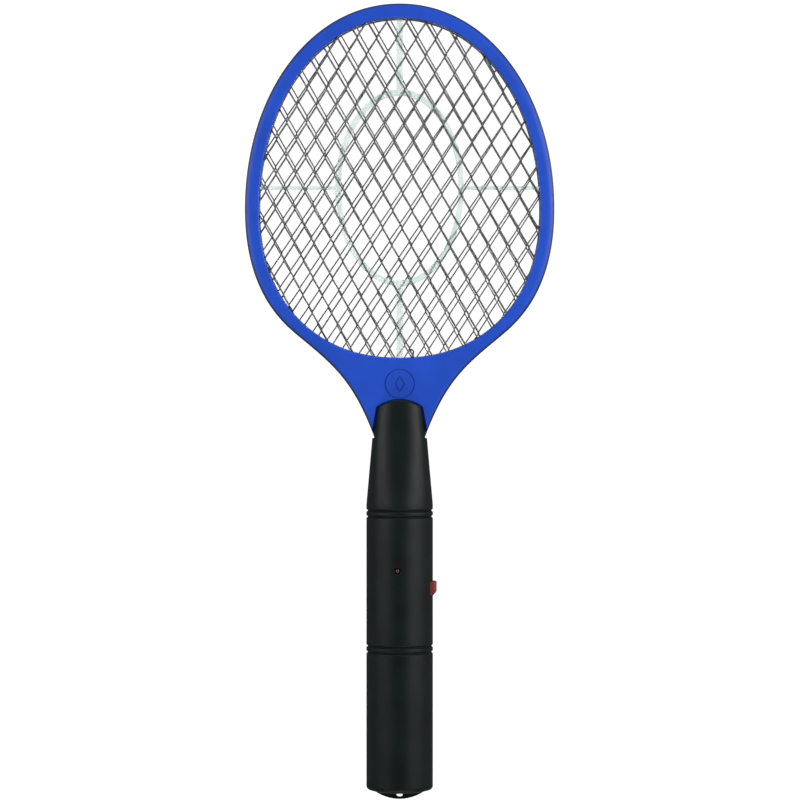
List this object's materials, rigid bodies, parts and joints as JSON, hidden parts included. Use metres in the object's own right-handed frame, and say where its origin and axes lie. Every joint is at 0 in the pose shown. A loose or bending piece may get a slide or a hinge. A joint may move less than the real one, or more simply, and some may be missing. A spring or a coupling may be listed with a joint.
{
  "type": "electric fly swatter",
  "caption": "Battery-powered handheld insect swatter shaped like a racket, with stacked metal grids in an oval plastic head and a round handle with a push button and a lamp.",
  "frame": {"origin": "on the surface that the swatter lies on, under the middle of its bounding box", "axes": "+Y along the handle's axis from its tail to the tip of the head, +Z out of the front, which carries the lamp, and +X to the right seen from the front, towards the push button"},
  "size_m": [0.173, 0.445, 0.0373],
  "materials": {
    "blue_plastic": "moulded plastic with a soft satin shine",
    "black_plastic": "moulded plastic, fine satin texture",
    "milky_plastic": "milky, slightly see-through plastic",
    "red_plastic": "smooth satin plastic",
    "red_lens": "clear tinted epoxy lens",
    "plunger_plastic": "moulded plastic",
    "grid_metal": "plated expanded steel mesh, satin",
    "plated_steel": "zinc-plated, satin",
    "cell_jacket": null,
    "circuit_board": "lacquered laminate",
    "ferrite_core": "sintered ferrite and copper winding",
    "capacitor_film": "dipped resin",
    "component_black": "moulded resin",
    "component_tan": "lacquered ceramic",
    "black_insulation": "soft vinyl insulation",
    "red_insulation": "soft vinyl insulation"
  },
  "bodies": {
    "racket": {"head_front_frame": "blue_plastic", "head_rear_frame": "blue_plastic", "front_guard_grid": "grid_metal", "centre_grid": "grid_metal", "rear_guard_grid": "grid_metal", "front_spacer": "milky_plastic", "rear_spacer": "milky_plastic", "handle_front_shell": "black_plastic", "handle_rear_shell": "black_plastic", "battery_tray": "black_plastic", "battery_cell_left": "cell_jacket", "battery_cell_right": "cell_jacket", "flat_contact": "plated_steel", "spring_contact": "plated_steel", "link_contact": "plated_steel", "circuit_board": "circuit_board", "step_up_transformer": "ferrite_core", "storage_capacitor": "capacitor_film", "disc_capacitor_1": "capacitor_film", "disc_capacitor_2": "capacitor_film", "rectifier_diode_1": "component_black", "rectifier_diode_2": "component_black", "rectifier_diode_3": "component_black", "lamp_resistor": "component_tan", "bleed_resistor": "component_tan", "power_transistor": "component_black", "switch_body": "component_black", "indicator_lamp": "red_lens", "front_grid_lead": "black_insulation", "centre_grid_lead": "red_insulation", "rear_grid_lead": "black_insulation", "positive_cell_lead": "red_insulation", "negative_cell_lead": "black_insulation", "head_screw_1": "plated_steel", "head_screw_2": "plated_steel", "head_screw_3": "plated_steel", "head_screw_4": "plated_steel", "head_screw_5": "plated_steel", "head_screw_6": "plated_steel", "head_screw_7": "plated_steel", "head_screw_8": "plated_steel", "neck_screw_left": "plated_steel", "neck_screw_right": "plated_steel", "middle_screw_left": "plated_steel", "middle_screw_right": "plated_steel", "tray_screw": "plated_steel"},
    "button": {"push_button": "red_plastic"},
    "plunger": {"switch_plunger": "plunger_plastic"},
    "door": {"battery_door": "black_plastic"}
  },
  "joints": [
    {"name": "button_press", "type": "slide", "parent": "racket", "child": "button", "axis": [-1, 0, 0], "range_m": [0, 0.0012], "stiffness_N_per_m": 400, "springref_m": -0.0005},
    {"name": "plunger_press", "type": "slide", "parent": "racket", "child": "plunger", "axis": [-1, 0, 0], "range_m": [0, 0.0012]},
    {"name": "battery_door_slide", "type": "slide", "parent": "racket", "child": "door", "axis": [0, -1, 0], "range_m": [0, 0.068]}
  ],
  "couplings": [
    {"joint": "plunger_press", "follows": "button_press", "ratio": 1}
  ]
}
